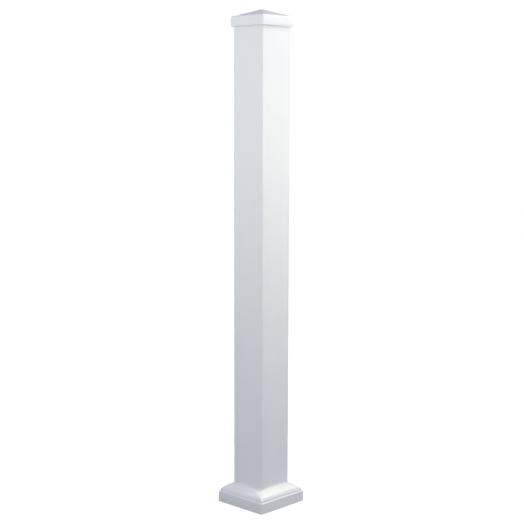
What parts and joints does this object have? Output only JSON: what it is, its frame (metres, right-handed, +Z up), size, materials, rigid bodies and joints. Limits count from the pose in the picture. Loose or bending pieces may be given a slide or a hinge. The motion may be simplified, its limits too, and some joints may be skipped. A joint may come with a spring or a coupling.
{
  "type": "newel post",
  "caption": "Square white vinyl newel post: hollow sleeve with a low pyramid cap and a moulded base skirt, standing on its own foot.",
  "frame": {"origin": "on the floor, at the centre of the post's foot", "axes": "+Z up along the post; X and Y square to its faces"},
  "size_m": [0.1586, 0.1586, 1.275],
  "materials": {
    "extruded_vinyl": "smooth extruded rigid PVC, white, semi-gloss",
    "moulded_vinyl": "injection moulded rigid PVC, white, semi-gloss"
  },
  "bodies": {
    "root": {"post_sleeve": "extruded_vinyl", "cap": "moulded_vinyl", "base_skirt": "moulded_vinyl"}
  },
  "joints": []
}
